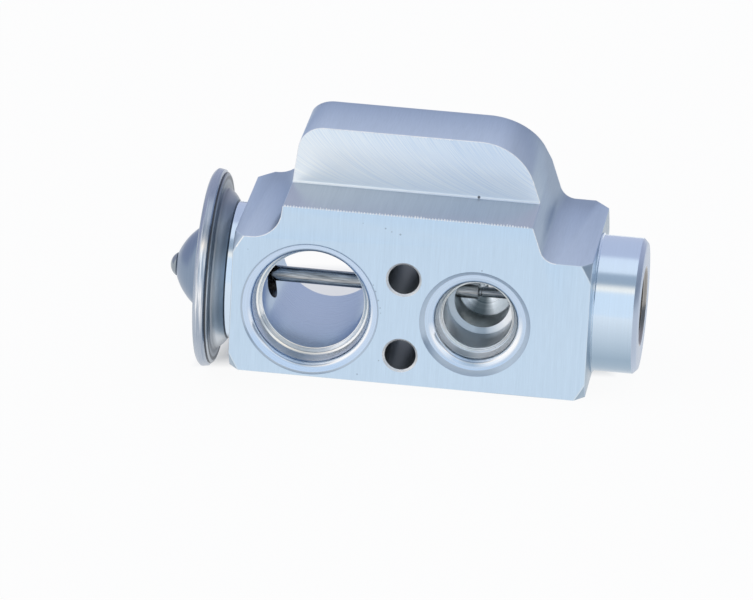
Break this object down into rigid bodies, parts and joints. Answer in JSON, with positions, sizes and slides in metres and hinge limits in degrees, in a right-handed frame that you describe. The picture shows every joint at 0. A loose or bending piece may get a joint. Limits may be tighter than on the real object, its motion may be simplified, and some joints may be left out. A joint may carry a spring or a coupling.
{
  "type": "expansion valve",
  "caption": "Block-type thermostatic expansion valve for a vehicle air conditioner: aluminium block with side ports, a steel power head at one end and an adjusting screw at the other.",
  "frame": {"origin": "middle of the two bolt holes, on the evaporator face", "axes": "+X along the valve axis from power head to adjusting screw; -Y out of the evaporator face; +Z from the ports towards the ear"},
  "size_m": [0.0973, 0.0407, 0.0543],
  "materials": {
    "block_aluminium": "brushed and milled",
    "head_steel": "stainless, formed and turned",
    "train_steel": "ground",
    "brass": "turned",
    "seal_rubber": "smooth"
  },
  "bodies": {
    "housing": {"valve_body": "block_aluminium", "head_lower_cover": "head_steel", "head_upper_cover": "head_steel", "diaphragm": "head_steel", "charge_plug": "head_steel", "head_seal": "seal_rubber", "rod_seal": "seal_rubber", "seal_retainer": "brass", "superheat_spring": "train_steel"},
    "stroke": {"pressure_plate": "train_steel", "sensing_rod": "train_steel", "actuating_pin": "train_steel", "valve_ball": "train_steel", "ball_carrier": "train_steel", "damper_spring": "train_steel"},
    "adjuster_travel": {"adjuster_seal": "seal_rubber"},
    "adjuster_turn": {"adjusting_screw": "brass"}
  },
  "joints": [
    {"name": "valve_stroke", "type": "slide", "parent": "housing", "child": "stroke", "axis": [1, 0, 0], "range_m": [0, 0.0008], "stiffness_N_per_m": 8000, "springref_m": -0.002, "deforming": ["diaphragm", "superheat_spring"]},
    {"name": "adjuster_travel", "type": "slide", "parent": "housing", "child": "adjuster_travel", "axis": [1, 0, 0], "range_m": [-0.001, 0.001], "deforming": ["superheat_spring"]},
    {"name": "adjuster_turn", "type": "hinge", "parent": "adjuster_travel", "child": "adjuster_turn", "pos_m": [0.04, 0.0187, 0], "axis": [1, 0, 0], "range_deg": [-360, 360]}
  ],
  "couplings": [
    {"joint": "adjuster_travel", "follows": "adjuster_turn", "m_per_rad": 0.00015915}
  ]
}
